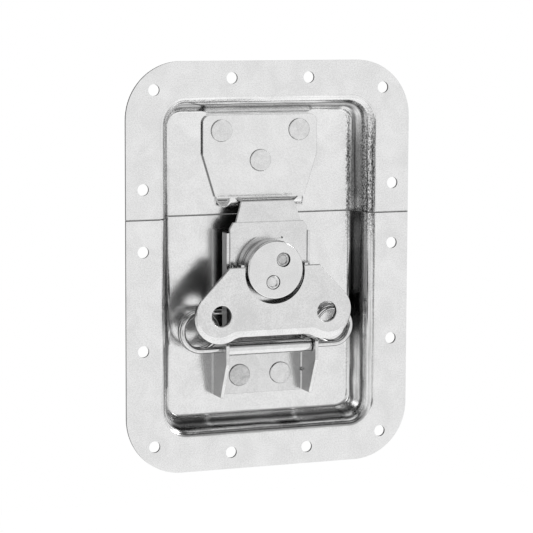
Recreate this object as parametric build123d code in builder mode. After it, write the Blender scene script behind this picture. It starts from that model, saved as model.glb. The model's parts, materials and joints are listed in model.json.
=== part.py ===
"""Recessed butterfly latch for a flight case, in millimetres.

A pressed steel dish, split across where the lid meets the box, is riveted behind the
case's cut-out. The lid half carries a keeper plate with an upturned lip. The box half
carries a bracket with two ears, and a sprung wire link that swings in them. The link
holds a channel-shaped housing, in which a hook plate slides up and down. A turret with
an eccentric cam drives the hook plate, and a folding butterfly wing turns the turret.

Frame: X to the right, Z up, and the front looks along -Y. The origin is the middle of
the flange's back face, the plane that sits on the case.
"""

import os
from math import asin, cos, pi, radians, sin, sqrt, tan

from build123d import *

os.makedirs("parts", exist_ok=True)

# ---- Pressed dish -------------------------------------------------------------------
plate_width = 127.0
plate_height = 172.0
plate_corner = 24.0
dish_sheet = 1.2
recess_width = 93.4  # at the flange's front face
recess_height = 139.4
recess_corner = 10.0
floor_corner = 6.5
recess_depth = 13.1  # from the flange's front face to the floor
wall_draft = 20.0  # degrees
fold_radius = 3.8  # where the flange turns into the wall
floor_radius = 2.7  # where the wall turns into the floor
split_height = 20.9
split_gap = 0.14
split_edge = 0.3  # rounding along both sides of the split
mount_hole_radius = 2.45
corner_hole_x_inset = 12.2  # from the flange's outline to the corner holes' centres
corner_hole_z_inset = 11.7
end_hole_x = 17.2
end_hole_outset = 1.05  # from the middle of the flange's band, towards its outline
side_hole_outset = 0.95
upper_side_hole_rise = 12.55  # from the split up to the holes above it
waist_hole_drop = 13.3  # and down to the holes below it
lower_side_hole_z = -33.85

# ---- Keeper plate on the lid half ---------------------------------------------------
keeper_sheet = 1.5
keeper_half_width = 25.9
keeper_top = 63.0
keeper_corner = 3.5
keeper_shoulder = 46.5  # height at which the sides start to taper
keeper_foot_half_width = 20.3  # where the plate turns into its lip
lip_height = 28.55  # height of the lip's centre and of its rim
lip_radius = 4.35  # outside of the upturned lip
lip_rim_half_width = 16.2
lip_seat_drop = 1.65  # the rim dips by this where the hook sits on it
lip_seat_slope = 1.5
lip_end_edge = 0.7  # rounding of the rolled lip's two ends
plate_edge = 0.25  # rounding of the stamped plates' front edges
keeper_rivets = {"left": (-17.55, 56.4), "right": (17.55, 56.4), "lower": (0.0, 43.6)}

# ---- Bracket on the box half --------------------------------------------------------
bracket_sheet = 1.5
ear_inner_x = 19.4
ear_top = -32.0
ear_front_depth = -3.7  # depth of the ears' front edge, from the flange's front face
ear_taper_top = -41.0
ear_foot_depth = 3.6
ear_foot = -56.5
ear_corner = 1.4
bracket_foot = -56.1
bracket_bend = 1.2
relief_height = -47.0
relief_radius = 0.9
bracket_rivets = {"left": (-9.3, -48.1), "right": (9.3, -48.1)}

# ---- Rivets -------------------------------------------------------------------------
rivet_head_radius = 4.7
rivet_head_height = 0.65
rivet_head_edge = 0.25
rivet_shank_radius = 2.4
rivet_tail_radius = 3.8
rivet_tail_height = 1.1
rivet_clearance = 0.05

# ---- Sprung wire link ---------------------------------------------------------------
wire_radius = 1.25
wire_fit = 0.08  # radial clearance of the wire in the ears and in the housing
link_pivot_z = -35.1
link_pivot_depth = 2.15
coil_radius = 7.8  # to the middle of the wire
coil_ear_gap = 0.22
coil_turns = 1.5
coil_sides = 8  # straight stretches to a turn, each rounded into the next
coil_rounding = 0.98
body_pivot_depth = 5.8
wire_end_inset = 2.2  # how far each end stands in past the housing wall
sleeve_radius = 3.0
sleeve_bore_gap = 0.1
sleeve_end_gap = 0.4

# ---- Hook plate and its housing -----------------------------------------------------
hook_sheet = 1.5
hook_face_depth = 1.55
hook_half_width = 17.4
hook_foot = -30.2
hook_shoulder = 18.4
hook_shoulder_chamfer = (1.6, 2.8)
tongue_foot_half_width = 14.6
tongue_top_half_width = 11.3
tongue_lean = 8.0  # degrees back from upright
tongue_top = 28.4
tongue_crease = 0.25  # depth and half the width of the line struck at the bend
nose_sheet = 1.3
nose_bend = 2.0
nose_back_bend = 1.7
nose_clearance = 0.3  # under the nose, to the bottom of the lip
housing_sheet = 1.2
housing_side_gap = 0.25
housing_depth = 6.8  # front edge of the side walls to the back of the housing
housing_top = 14.0
housing_foot = -31.0
housing_wall_foot = -26.0
housing_foot_slope = 0.5
housing_bend = 1.6

# ---- Turret -------------------------------------------------------------------------
turret_z = -1.1
drum_radius = 12.35
drum_front_depth = -6.8
drum_edge = 0.7
plate_play = 0.2  # between the hook plate and the washers on each side of it
front_washer_radius = 14.3
front_washer_notch = 6.0  # half width of the notch in its top
front_washer_sheet = 0.85
rear_washer_radius = 12.9
rear_washer_sheet = 1.3
cam_radius = 9.5
cam_throw = 2.5
cam_slot_play = 0.65
drum_rivet_radius = 2.9
drum_rivet_dish_radius = 1.8
drum_rivet_dish_depth = 0.55
drum_rivet_pitch_radius = 5.35
drum_rivet_angles = {"upper": 50.0, "lower": -102.0}
drum_rivet_recess = {"upper": 0.5, "lower": 0.0}
drum_rivet_shank_radius = 1.4
drum_rivet_head_height = 1.6
drum_rivet_gap = 0.2
spindle_radius = 4.0
spindle_fit = 0.05
bush_wall = 1.2
bush_flange_radius = 7.2
bush_flange_sheet = 0.8
wave_washer_radius = 6.6
wave_washer_sheet = 0.5
clip_radius = 6.4
clip_sheet = 0.8
clip_groove = 0.6
clip_mouth = 5.0
spindle_tail = 0.6

# ---- Butterfly wing -----------------------------------------------------------------
wing_front_depth = -6.0
wing_depth = 2.0
wing_skin = 1.1
wing_rim_width = 2.4
wing_bevel_depth = 1.6  # of the slope round the lobes and along the foot
wing_bevel_foot = 2.7  # its width along the foot
wing_bevel_shift = 1.24  # the face's lobes lie this far out and up inside the outline's
wing_top = 0.3
wing_top_half_width = 20.3
lobe_x, lobe_z = 23.6, -20.1
lobe_radius = 11.6
wing_foot = -29.2
wing_waist_radius = 8.0
wing_edge_radius = 0.4
wing_cutout_radius = 13.4
wing_cutout_drop = 1.1  # the cut-out's centre lies this far below the turret's axis
wing_hole_x, wing_hole_z = 23.7, -19.8
wing_hole_radius = 4.35
wing_hole_edge = 0.45
wing_pin_radius = 1.5
wing_pin_fit = 0.06
wing_pin_depth = -2.2
lug_inner_x = 13.6
lug_sheet = 1.4
lug_radius = 2.3
lug_foot = -5.4
pin_head = 0.5

cut_margin = 1.0  # how far a cut is carried past the surface it starts from

# ---- Worked out ---------------------------------------------------------------------
front_y = -dish_sheet
corner_hole_x = plate_width / 2 - corner_hole_x_inset
corner_hole_z = plate_height / 2 - corner_hole_z_inset
end_hole_z = (plate_height + recess_height) / 4 + end_hole_outset
side_hole_x = (plate_width + recess_width) / 4 + side_hole_outset
upper_side_hole_z = split_height + upper_side_hole_rise
waist_hole_z = split_height - waist_hole_drop
floor_y = front_y + recess_depth
keeper_face_y = floor_y - keeper_sheet
bracket_face_y = floor_y - bracket_sheet
ear_outer_x = ear_inner_x + bracket_sheet
ear_front_y = front_y + ear_front_depth
link_pivot_y = front_y + link_pivot_depth
body_pivot_y = front_y + body_pivot_depth
coil_x = ear_outer_x + coil_ear_gap + wire_radius + coil_radius
body_pivot_z = link_pivot_z + 2 * coil_radius
hook_face_y = front_y + hook_face_depth
hook_back_y = hook_face_y + hook_sheet
housing_inner_x = hook_half_width + housing_side_gap
housing_outer_x = housing_inner_x + housing_sheet
housing_back_y = hook_face_y + housing_depth
front_washer_y = hook_face_y - plate_play - front_washer_sheet
rear_washer_y = hook_back_y + plate_play
drum_front_y = front_y + drum_front_depth
cam_z = turret_z - cam_throw
wing_front_y = front_y + wing_front_depth
wing_back_y = wing_front_y + wing_depth
wing_pin_y = front_y + wing_pin_depth


def facing(y):
    """A sketch plane at y in which the sketch's X and Y are the part's X and Z.

    Its normal is the front, -Y, so a positive extrusion grows towards the front.
    """
    return Plane.XZ.offset(-y)


def disc(y, length, radius, x=0.0, z=0.0, mode=Mode.ADD):
    """A round bar on an axis along Y, from y towards the back by length."""
    end = Align.MIN if length > 0 else Align.MAX
    with Locations(Location((x, y, z), (-90, 0, 0))):
        Cylinder(radius, abs(length), align=(Align.CENTER, Align.CENTER, end), mode=mode)


def finish(builder, name):
    builder.part.label = name
    export_step(builder.part, f"parts/{name}.step")


# ---- Dish ---------------------------------------------------------------------------
def recess_section(y, grow=0.0):
    """The recess's outline at depth y, its wall moved outwards by grow."""
    run_in = (y - front_y) * tan(radians(wall_draft))
    share = (y - front_y) / recess_depth
    corner = recess_corner + (floor_corner - recess_corner) * share + grow
    with BuildSketch(facing(y)) as section:
        RectangleRounded(
            recess_width - 2 * run_in + 2 * grow, recess_height - 2 * run_in + 2 * grow, corner
        )
    return section.sketch


def recess_edges(builder, y):
    """The edges of the recess's own loop in the plane at y, without the flange's outline."""
    return builder.edges().filter_by(
        lambda e: e.bounding_box().size.Y < 0.001
        and abs(e.center().Y - y) < 0.001
        and abs(e.center().X) < (plate_width + recess_width) / 4
        and abs(e.center().Z) < (plate_height + recess_height) / 4
    )


wall_thickness_across = dish_sheet / cos(radians(wall_draft))
with BuildPart() as recess:
    loft([recess_section(front_y - dish_sheet), recess_section(floor_y)], ruled=True)
    fillet(recess_edges(recess, floor_y), floor_radius)

with BuildPart() as dish:
    tub_mouth = recess_section(-dish_sheet / 2, wall_thickness_across)
    tub_foot = recess_section(floor_y + dish_sheet, wall_thickness_across)
    loft([tub_mouth, tub_foot], ruled=True)
    fillet(recess_edges(dish, floor_y + dish_sheet), floor_radius + dish_sheet)
    with BuildSketch(facing(0)):
        RectangleRounded(plate_width, plate_height, plate_corner)
    extrude(amount=dish_sheet)
    add(recess.part, mode=Mode.SUBTRACT)
    fillet(recess_edges(dish, front_y), fold_radius)
    fillet(recess_edges(dish, 0), fold_radius - dish_sheet)
    with BuildSketch(facing(0)):
        with GridLocations(2 * corner_hole_x, 2 * corner_hole_z, 2, 2):
            Circle(mount_hole_radius)
        with GridLocations(2 * end_hole_x, 2 * end_hole_z, 2, 2):
            Circle(mount_hole_radius)
        for side_z in (upper_side_hole_z, waist_hole_z, lower_side_hole_z):
            with Locations((-side_hole_x, side_z), (side_hole_x, side_z)):
                Circle(mount_hole_radius)
    extrude(amount=dish_sheet, mode=Mode.SUBTRACT)
    for spots in (keeper_rivets, bracket_rivets):
        for x, z in spots.values():
            disc(
                floor_y, dish_sheet, rivet_shank_radius + rivet_clearance, x, z, Mode.SUBTRACT
            )


def dish_half(name, cut_z, keep):
    """The part of the dish on one side of the cut, with the cut's front edge rounded."""
    just_in_front = Vector(0, -dish_sheet / 10, 0)
    with BuildPart() as half:
        add(dish.part)
        split(bisect_by=Plane.XY.offset(cut_z), keep=keep)
        cut = half.faces().filter_by(lambda f: abs(f.center().Z - cut_z) < 0.001)[0]
        front_chain = cut.edges().filter_by(
            lambda e: abs((e % 0.5).Y) < 0.999 and not cut.is_inside(e @ 0.5 + just_in_front)
        )
        fillet(front_chain, split_edge)
    finish(half, name)


dish_half("dish_upper", split_height + split_gap / 2, Keep.TOP)
dish_half("dish_lower", split_height - split_gap / 2, Keep.BOTTOM)


# ---- Keeper plate -------------------------------------------------------------------
lip_y = keeper_face_y + keeper_sheet - lip_radius
lip_inner_radius = lip_radius - keeper_sheet
lip_front_y = lip_y - lip_radius
with BuildPart() as keeper_lip:
    with BuildSketch(Plane.YZ):
        with Locations((lip_y, lip_height)):
            Circle(lip_radius)
            Circle(lip_inner_radius, mode=Mode.SUBTRACT)
            Rectangle(
                2 * lip_radius,
                2 * lip_radius,
                align=(Align.CENTER, Align.MIN),
                mode=Mode.SUBTRACT,
            )
    extrude(amount=keeper_foot_half_width, both=True)
    # The sides keep their taper round the bend, so the rim is narrower than the plate.
    with BuildSketch(Plane.XY.offset(lip_height)):
        with BuildLine():
            Polyline(
                (keeper_foot_half_width, floor_y),
                (lip_rim_half_width, lip_front_y),
                (lip_rim_half_width, lip_front_y - cut_margin),
                (keeper_half_width, lip_front_y - cut_margin),
                (keeper_half_width, floor_y),
                close=True,
            )
        make_face()
        mirror(about=Plane.YZ)
    extrude(amount=-2 * lip_radius, mode=Mode.SUBTRACT)
    lip_ends = keeper_lip.edges().filter_by(
        lambda e: e.center().Z < lip_height - lip_inner_radius
        and abs(e.center().X) > lip_rim_half_width
    )
    fillet(lip_ends, lip_end_edge)
    with BuildSketch(facing(lip_y)):
        with BuildLine():
            seat_half_width = tongue_top_half_width + lip_seat_slope
            Polyline(
                (-seat_half_width - lip_seat_slope, lip_height),
                (-seat_half_width, lip_height - lip_seat_drop),
                (seat_half_width, lip_height - lip_seat_drop),
                (seat_half_width + lip_seat_slope, lip_height),
                close=True,
            )
        make_face()
    extrude(amount=lip_radius, mode=Mode.SUBTRACT)

with BuildPart() as keeper_plate:
    with BuildSketch(facing(floor_y)) as keeper_outline:
        with BuildLine():
            Polyline(
                (-keeper_foot_half_width, lip_height),
                (-keeper_half_width, keeper_shoulder),
                (-keeper_half_width, keeper_top),
                (keeper_half_width, keeper_top),
                (keeper_half_width, keeper_shoulder),
                (keeper_foot_half_width, lip_height),
                close=True,
            )
        make_face()
        fillet(keeper_outline.vertices().group_by(Axis.Y)[-1], keeper_corner)
    extrude(amount=keeper_sheet)
    plate_face = keeper_plate.faces().sort_by(Axis.Y)[0]
    fillet(plate_face.edges().sort_by(Axis.Z)[1:], plate_edge)
    add(keeper_lip.part)
    for x, z in keeper_rivets.values():
        disc(
            keeper_face_y, keeper_sheet, rivet_shank_radius + rivet_clearance, x, z, Mode.SUBTRACT
        )
finish(keeper_plate, "keeper_plate")


# ---- Rivets that hold the keeper and the bracket to the floor -------------------------
def floor_rivet(name, face_y, x, z):
    """A flat-headed rivet from a plate's face through the dish's floor."""
    back_y = floor_y + dish_sheet
    with BuildPart() as rivet:
        disc(face_y, -rivet_head_height, rivet_head_radius, x, z)
        chamfer(rivet.edges().sort_by(Axis.Y)[0], rivet_head_edge)
        disc(face_y, back_y - face_y, rivet_shank_radius, x, z)
        disc(back_y, rivet_tail_height, rivet_tail_radius, x, z)
        chamfer(rivet.edges().sort_by(Axis.Y)[-1], rivet_tail_height / 2)
    finish(rivet, name)


for place, (x, z) in keeper_rivets.items():
    floor_rivet(f"keeper_rivet_{place}", keeper_face_y, x, z)
for place, (x, z) in bracket_rivets.items():
    floor_rivet(f"bracket_rivet_{place}", bracket_face_y, x, z)


# ---- Bracket ------------------------------------------------------------------------
with BuildPart() as link_bracket:
    with BuildSketch(Plane.XY.offset(bracket_foot)) as bracket_section:
        with BuildLine():
            Polyline(
                (-ear_outer_x, ear_front_y),
                (-ear_outer_x, floor_y),
                (ear_outer_x, floor_y),
                (ear_outer_x, ear_front_y),
                (ear_inner_x, ear_front_y),
                (ear_inner_x, bracket_face_y),
                (-ear_inner_x, bracket_face_y),
                (-ear_inner_x, ear_front_y),
                close=True,
            )
        make_face()
        fillet(
            bracket_section.vertices().filter_by(lambda v: v.Y > floor_y - 0.001), bracket_bend
        )
        fillet(
            bracket_section.vertices().filter_by(
                lambda v: abs(v.Y - bracket_face_y) < 0.001 and abs(abs(v.X) - ear_inner_x) < 0.001
            ),
            bracket_bend / 2,
        )
    extrude(amount=ear_top - bracket_foot)
    # The ears' outline, cut across both of them at once.
    with BuildSketch(Plane.YZ) as ear_outline:
        with BuildLine():
            Polyline(
                (floor_y, ear_top),
                (ear_front_y, ear_top),
                (ear_front_y, ear_taper_top),
                (front_y + ear_foot_depth, ear_foot),
                (floor_y, ear_foot),
                close=True,
            )
        make_face()
        fillet(
            ear_outline.vertices().filter_by(lambda v: v.X < bracket_face_y), ear_corner
        )
    extrude(amount=ear_outer_x, both=True, mode=Mode.INTERSECT)
    ear_edges = link_bracket.edges().filter_by(
        lambda e: e.bounding_box().size.X < 0.001
        and e.center().Y < bracket_face_y - bracket_bend
    )
    fillet(ear_edges, plate_edge)
    with BuildSketch(Plane.YZ):
        with Locations((link_pivot_y, link_pivot_z)):
            Circle(wire_radius + wire_fit)
    extrude(amount=ear_outer_x, both=True, mode=Mode.SUBTRACT)
    for side in (-1, 1):
        disc(
            bracket_face_y - bracket_bend,
            bracket_sheet + bracket_bend,
            relief_radius,
            side * ear_inner_x,
            relief_height,
            Mode.SUBTRACT,
        )
    for x, z in bracket_rivets.values():
        disc(
            bracket_face_y, bracket_sheet, rivet_shank_radius + rivet_clearance, x, z, Mode.SUBTRACT
        )
finish(link_bracket, "link_bracket")


# ---- Sprung wire link ---------------------------------------------------------------
def coil_corners(side):
    """Corners of the wire's route from the ear out, round the coil and in to the housing.

    The corners of a polygon drawn round the coil: rounded to the coil's radius they
    give its turns, and each corner lies a little further back than the last.
    """
    corner_radius = coil_radius / cos(pi / coil_sides)
    count = round(coil_turns * coil_sides)
    points = []
    for k in range(count):
        angle = -pi / 2 + (k + 0.5) * 2 * pi / coil_sides
        y = link_pivot_y + (body_pivot_y - link_pivot_y) * k / (count - 1)
        points.append(
            (
                side * (coil_x + corner_radius * cos(angle)),
                y,
                link_pivot_z + coil_radius + corner_radius * sin(angle),
            )
        )
    points.append((side * (housing_inner_x - wire_end_inset), body_pivot_y, body_pivot_z))
    return points


with BuildPart() as link_spring:
    with BuildLine() as wire_route:
        FilletPolyline(
            *reversed(coil_corners(-1)),
            *coil_corners(1),
            radius=coil_radius * coil_rounding,
        )
    with BuildSketch(Plane(origin=wire_route.line @ 0, z_dir=wire_route.line % 0)):
        Circle(wire_radius)
    sweep()
finish(link_spring, "link_spring")

with BuildPart() as link_sleeve:
    with BuildSketch(Plane.YZ):
        with Locations((link_pivot_y, link_pivot_z)):
            Circle(sleeve_radius)
            Circle(wire_radius + sleeve_bore_gap, mode=Mode.SUBTRACT)
    extrude(amount=ear_inner_x - sleeve_end_gap, both=True)
finish(link_sleeve, "link_sleeve")


# ---- Housing and hook plate ---------------------------------------------------------
with BuildPart() as latch_housing:
    with BuildSketch(Plane.XY.offset(housing_foot)) as housing_section:
        with BuildLine():
            inner_back_y = housing_back_y - housing_sheet
            Polyline(
                (-housing_outer_x, hook_face_y),
                (-housing_outer_x, housing_back_y),
                (housing_outer_x, housing_back_y),
                (housing_outer_x, hook_face_y),
                (housing_inner_x, hook_face_y),
                (housing_inner_x, inner_back_y),
                (-housing_inner_x, inner_back_y),
                (-housing_inner_x, hook_face_y),
                close=True,
            )
        make_face()
        fillet(
            housing_section.vertices().filter_by(lambda v: v.Y > housing_back_y - 0.001),
            housing_bend,
        )
        fillet(
            housing_section.vertices().filter_by(lambda v: abs(v.Y - inner_back_y) < 0.001),
            housing_bend - housing_sheet,
        )
    extrude(amount=housing_top - housing_foot)
    # Below the wire's ends only the back wall goes on.
    with BuildSketch(Plane.YZ):
        with BuildLine():
            Polyline(
                (hook_face_y - cut_margin, housing_wall_foot),
                (hook_face_y - cut_margin, housing_foot - cut_margin),
                (inner_back_y, housing_foot - cut_margin),
                (inner_back_y, housing_foot + housing_foot_slope),
                close=True,
            )
        make_face()
    extrude(amount=housing_outer_x, both=True, mode=Mode.SUBTRACT)
    with BuildSketch(Plane.YZ):
        with Locations((body_pivot_y, body_pivot_z)):
            Circle(wire_radius + wire_fit)
    extrude(amount=housing_outer_x, both=True, mode=Mode.SUBTRACT)
    disc(
        inner_back_y,
        housing_sheet,
        spindle_radius + spindle_fit + bush_wall,
        0,
        turret_z,
        Mode.SUBTRACT,
    )
finish(latch_housing, "latch_housing")

with BuildPart() as spindle_bush:
    disc(inner_back_y, housing_sheet, spindle_radius + spindle_fit + bush_wall, 0, turret_z)
    disc(housing_back_y, bush_flange_sheet, bush_flange_radius, 0, turret_z)
    disc(
        inner_back_y,
        housing_sheet + bush_flange_sheet,
        spindle_radius + spindle_fit,
        0,
        turret_z,
        Mode.SUBTRACT,
    )
finish(spindle_bush, "spindle_bush")

lean = tan(radians(tongue_lean))
tongue_top_y = hook_face_y + (tongue_top - hook_shoulder) * lean
nose_foot = lip_height - lip_inner_radius + nose_clearance
nose_under = tongue_top - nose_sheet
with BuildPart() as hook_plate:
    with BuildSketch(Plane.YZ) as hook_profile:
        with BuildLine():
            Polyline(
                (hook_face_y, hook_foot),
                (hook_face_y, hook_shoulder),
                (tongue_top_y, tongue_top),
                (lip_y + nose_sheet / 2, tongue_top),
                (lip_y + nose_sheet / 2, nose_foot),
                (lip_y - nose_sheet / 2, nose_foot),
                (lip_y - nose_sheet / 2, nose_under),
                (tongue_top_y + hook_sheet - nose_sheet * lean, nose_under),
                (hook_back_y, hook_shoulder),
                (hook_back_y, hook_foot),
                close=True,
            )
        make_face()
        tops = hook_profile.vertices().filter_by(lambda v: v.Y > tongue_top - 0.001)
        fillet(tops.sort_by(Axis.X)[0], nose_bend)
        fillet(tops.sort_by(Axis.X)[-1], nose_back_bend)
        unders = hook_profile.vertices().filter_by(lambda v: abs(v.Y - nose_under) < 0.001)
        fillet(unders.sort_by(Axis.X)[0], nose_bend - nose_sheet)
        fillet(unders.sort_by(Axis.X)[-1], nose_back_bend - nose_sheet)
    extrude(amount=hook_half_width, both=True)
    shoulder_in, shoulder_down = hook_shoulder_chamfer
    with BuildSketch(facing(hook_face_y)) as hook_outline:
        with BuildLine():
            Polyline(
                (0, hook_foot),
                (hook_half_width, hook_foot),
                (hook_half_width, hook_shoulder - shoulder_down),
                (hook_half_width - shoulder_in, hook_shoulder),
                (tongue_foot_half_width, hook_shoulder),
                (tongue_top_half_width, tongue_top),
                (0, tongue_top),
                close=True,
            )
        make_face()
        mirror(about=Plane.YZ)
    extrude(amount=-2 * recess_depth, mode=Mode.INTERSECT)
    hook_face = hook_plate.faces().filter_by(
        lambda f: abs(f.center().Y - hook_face_y) < 0.001 and f.is_planar
    )
    fillet(
        hook_face.edges().filter_by(lambda e: e.center().Z < hook_shoulder - 0.1), plate_edge
    )
    # The cam's slot: wide enough for its side-to-side swing, and only just tall enough.
    with BuildSketch(facing(hook_face_y)):
        with Locations((0, cam_z)):
            SlotCenterToCenter(2 * cam_throw, 2 * (cam_radius + cam_slot_play))
    extrude(amount=-hook_sheet, mode=Mode.SUBTRACT)
    # A shallow groove is struck along the tongue's bend.
    with BuildSketch(Plane.YZ):
        with BuildLine():
            Polyline(
                (hook_face_y, hook_shoulder - tongue_crease),
                (hook_face_y + tongue_crease, hook_shoulder),
                (hook_face_y + tongue_crease * lean, hook_shoulder + tongue_crease),
                (hook_face_y - cut_margin, hook_shoulder + tongue_crease),
                (hook_face_y - cut_margin, hook_shoulder - tongue_crease),
                close=True,
            )
        make_face()
    extrude(amount=hook_half_width, both=True, mode=Mode.SUBTRACT)
finish(hook_plate, "hook_plate")


# ---- Turret -------------------------------------------------------------------------
def drum_rivet_spot(place):
    angle = radians(drum_rivet_angles[place])
    return (
        drum_rivet_pitch_radius * cos(angle),
        turret_z + drum_rivet_pitch_radius * sin(angle),
    )


def drum_rivet_holes(y, length):
    for place in drum_rivet_angles:
        x, z = drum_rivet_spot(place)
        disc(y, length, drum_rivet_shank_radius + rivet_clearance, x, z, Mode.SUBTRACT)


with BuildPart() as turret_drum:
    disc(drum_front_y, front_washer_y - drum_front_y, drum_radius, 0, turret_z)
    fillet(turret_drum.edges().sort_by(Axis.Y)[0], drum_edge)
    drum_rivet_holes(drum_front_y, front_washer_y - drum_front_y)
    for place, recess_by in drum_rivet_recess.items():
        x, z = drum_rivet_spot(place)
        disc(
            drum_front_y,
            recess_by + drum_rivet_head_height,
            drum_rivet_radius + drum_rivet_gap,
            x,
            z,
            Mode.SUBTRACT,
        )
    with BuildSketch(Plane.YZ):
        with Locations((wing_pin_y, turret_z)):
            Circle(wing_pin_radius)
    extrude(amount=drum_radius, both=True, mode=Mode.SUBTRACT)
finish(turret_drum, "turret_drum")

for place, recess_by in drum_rivet_recess.items():
    x, z = drum_rivet_spot(place)
    head_y = drum_front_y + recess_by
    shank_end_y = rear_washer_y
    with BuildPart() as drum_rivet:
        disc(head_y, drum_rivet_head_height, drum_rivet_radius, x, z)
        fillet(drum_rivet.edges().sort_by(Axis.Y)[0], drum_rivet_head_height / 3)
        disc(head_y, drum_rivet_dish_depth, drum_rivet_dish_radius, x, z, Mode.SUBTRACT)
        dish_rim = drum_rivet.edges().group_by(Axis.Y)[0].sort_by(SortBy.RADIUS)[0]
        chamfer(dish_rim, drum_rivet_dish_depth * 0.7)
        disc(
            head_y + drum_rivet_dish_depth,
            shank_end_y - head_y - drum_rivet_dish_depth,
            drum_rivet_shank_radius,
            x,
            z,
        )
    finish(drum_rivet, f"drum_rivet_{place}")

with BuildPart() as front_washer:
    disc(front_washer_y, front_washer_sheet, front_washer_radius, 0, turret_z)
    drum_rivet_holes(front_washer_y, front_washer_sheet)
    with BuildSketch(facing(front_washer_y)):
        with Locations((0, turret_z + front_washer_radius)):
            Rectangle(2 * front_washer_notch, 2 * (front_washer_radius - drum_radius))
    extrude(amount=-front_washer_sheet, mode=Mode.SUBTRACT)
finish(front_washer, "front_washer")

cam_front_y = front_washer_y + front_washer_sheet
with BuildPart() as cam_disc:
    disc(cam_front_y, rear_washer_y - cam_front_y, cam_radius, 0, cam_z)
    drum_rivet_holes(cam_front_y, rear_washer_y - cam_front_y)
finish(cam_disc, "cam_disc")

with BuildPart() as rear_washer:
    disc(rear_washer_y, rear_washer_sheet, rear_washer_radius, 0, turret_z)
finish(rear_washer, "rear_washer")

spindle_front_y = rear_washer_y + rear_washer_sheet
bush_back_y = housing_back_y + bush_flange_sheet
clip_y = bush_back_y + wave_washer_sheet
spindle_back_y = clip_y + clip_sheet + spindle_tail
with BuildPart() as spindle:
    disc(spindle_front_y, spindle_back_y - spindle_front_y, spindle_radius, 0, turret_z)
    chamfer(spindle.edges().sort_by(Axis.Y)[-1], spindle_tail / 2)
    with BuildSketch(facing(clip_y)):
        with Locations((0, turret_z)):
            Circle(spindle_radius)
            Circle(spindle_radius - clip_groove, mode=Mode.SUBTRACT)
    extrude(amount=-clip_sheet, mode=Mode.SUBTRACT)
finish(spindle, "spindle")

with BuildPart() as wave_washer:
    with BuildSketch(facing(bush_back_y)):
        with Locations((0, turret_z)):
            Circle(wave_washer_radius)
            Circle(spindle_radius + spindle_fit, mode=Mode.SUBTRACT)
    extrude(amount=-wave_washer_sheet)
finish(wave_washer, "wave_washer")

with BuildPart() as spindle_clip:
    with BuildSketch(facing(clip_y)):
        with Locations((0, turret_z)):
            Circle(clip_radius)
            Circle(spindle_radius - clip_groove, mode=Mode.SUBTRACT)
            Rectangle(
                clip_mouth,
                clip_radius,
                align=(Align.CENTER, Align.MAX),
                mode=Mode.SUBTRACT,
            )
    extrude(amount=-clip_sheet)
finish(spindle_clip, "spindle_clip")

with BuildPart() as wing_pin:
    with BuildSketch(Plane.YZ):
        with Locations((wing_pin_y, turret_z)):
            Circle(wing_pin_radius)
    extrude(amount=lug_inner_x + lug_sheet + pin_head, both=True)
    chamfer(wing_pin.edges().group_by(Axis.X)[-1], pin_head / 2)
    chamfer(wing_pin.edges().group_by(Axis.X)[0], pin_head / 2)
finish(wing_pin, "wing_pin")


# ---- Butterfly wing -----------------------------------------------------------------
def wing_outline(y, bevel_shift=0.0, bevel_foot=0.0):
    """The wing's outline at depth y, its lobes and its foot drawn in by the bevel."""
    centre_x, centre_z = lobe_x + bevel_shift, lobe_z + bevel_shift
    radius = lobe_radius - bevel_shift * sqrt(2)
    foot = wing_foot + bevel_foot
    # Where the sloping side leaves the lobe it is square to the lobe's radius.
    to_lobe = Vector(centre_x - wing_top_half_width, centre_z - wing_top)
    side_angle = Vector(1, 0).get_signed_angle(to_lobe, Vector(0, 0, 1))
    side_angle = radians(side_angle) + asin(radius / to_lobe.length)
    side_length = sqrt(to_lobe.length**2 - radius**2)
    side_foot = (
        wing_top_half_width + side_length * cos(side_angle),
        wing_top + side_length * sin(side_angle),
    )
    with BuildSketch(facing(y)) as outline:
        with Locations((-centre_x, centre_z), (centre_x, centre_z)):
            Circle(radius)
        with BuildLine():
            Polyline(
                (0, foot),
                (centre_x, foot),
                (centre_x, centre_z),
                side_foot,
                (wing_top_half_width, wing_top),
                (0, wing_top),
            )
            mirror(about=Plane.YZ)
        make_face()
        waist = outline.vertices().filter_by(
            lambda v: abs(v.Y - foot) < 0.001 and abs(v.X) < centre_x
        )
        fillet(waist, wing_waist_radius)
    return outline.sketch


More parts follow.
